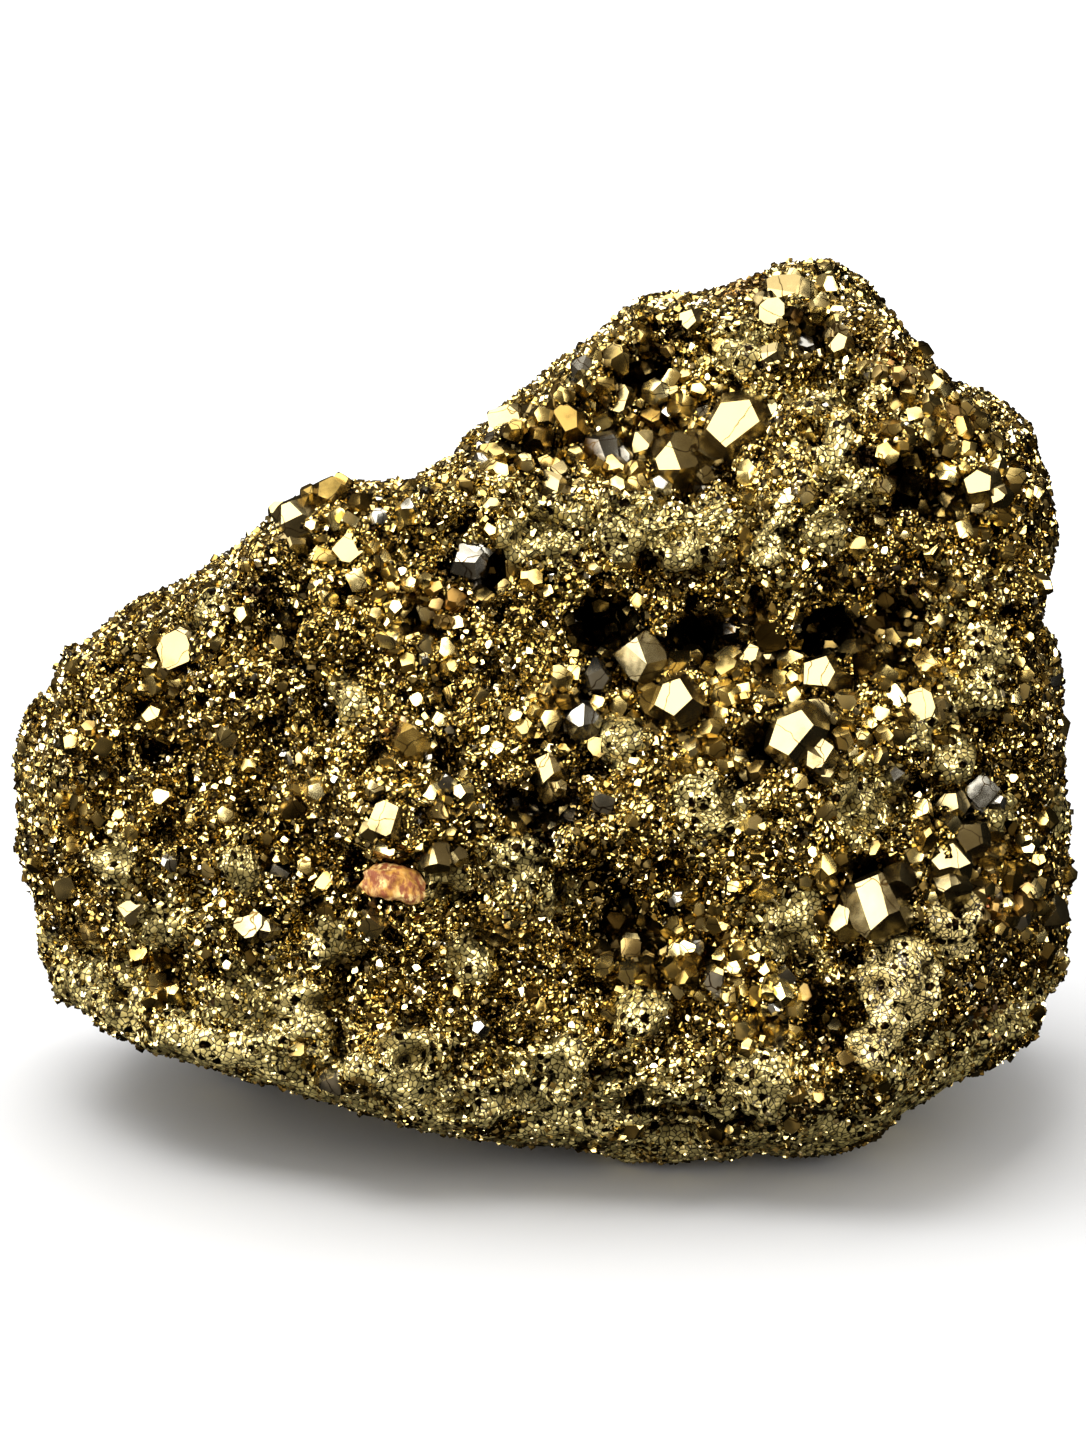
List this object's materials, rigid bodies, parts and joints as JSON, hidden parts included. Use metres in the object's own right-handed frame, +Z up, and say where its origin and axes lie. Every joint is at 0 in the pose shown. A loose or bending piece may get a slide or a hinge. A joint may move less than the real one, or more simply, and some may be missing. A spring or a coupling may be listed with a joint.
{
  "type": "pyrite specimen",
  "caption": "Rough hand specimen of granular pyrite with a ledge, vugs and larger crystals, a feldspar grain lodged in its front, and a flat seat to rest on.",
  "frame": {"origin": "on the level of the flat seat, under the middle of the bounding box", "axes": "+X along the long side, to the right seen from the front; +Y from the front to the back; +Z up"},
  "size_m": [0.093, 0.0606, 0.0717],
  "materials": {
    "pyrite": "granular, metallic lustre, tarnished in the hollows",
    "feldspar": "dull, streaked"
  },
  "bodies": {
    "root": {"pyrite_mass": "pyrite", "feldspar_grain": "feldspar"}
  },
  "joints": []
}
